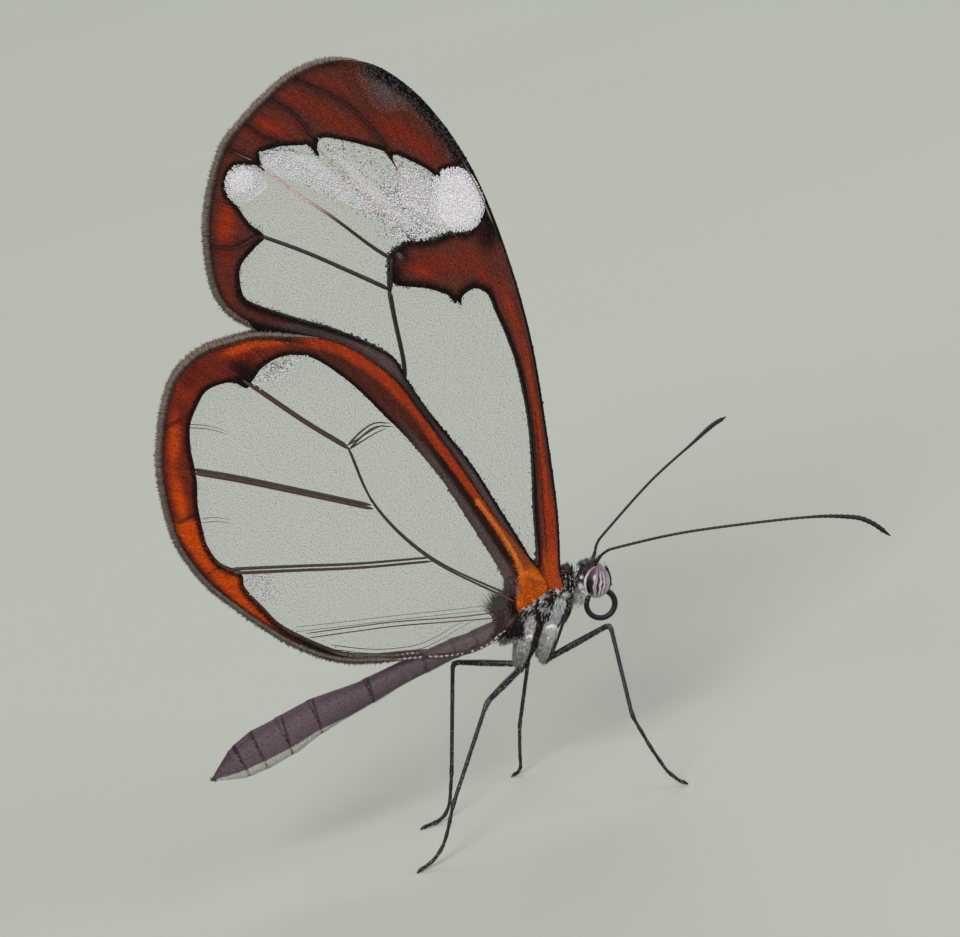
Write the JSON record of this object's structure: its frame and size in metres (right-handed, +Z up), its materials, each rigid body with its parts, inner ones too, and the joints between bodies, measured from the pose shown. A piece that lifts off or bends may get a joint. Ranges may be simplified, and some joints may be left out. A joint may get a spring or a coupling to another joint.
{
  "type": "glasswing butterfly model",
  "caption": "Life-size glasswing butterfly standing with closed, clear, rust-bordered wings, long feelers and a coiled tongue.",
  "frame": {"origin": "on the floor below the middle of the whole butterfly's box, feelers included", "axes": "+X the way the butterfly faces, +Y its left side, +Z up"},
  "size_m": [0.036, 0.0165, 0.04],
  "materials": {
    "body_hair": "short grey-white and dark brown hair",
    "abdomen_scales": "fine purple-brown scales",
    "eye": "glossy eye with grey and dark upright stripes",
    "cuticle": "smooth blue-black cuticle",
    "wing_scales": "rust-red and dark brown scales round clear windows",
    "wing_membrane": "clear membrane with a faint sheen",
    "leg": "dark cuticle flecked with fine white scales"
  },
  "bodies": {
    "root": {"thorax": "body_hair", "abdomen": "abdomen_scales", "head": "body_hair", "eye_right": "eye", "eye_left": "eye", "antenna_right": "cuticle", "antenna_left": "cuticle", "proboscis": "cuticle", "forewing_right": "wing_scales", "forewing_left": "wing_scales", "hindwing_right": "wing_scales", "hindwing_left": "wing_scales", "foreleg_right": "leg", "foreleg_left": "leg", "midleg_right": "leg", "midleg_left": "leg", "hindleg_right": "leg", "hindleg_left": "leg"}
  },
  "joints": []
}
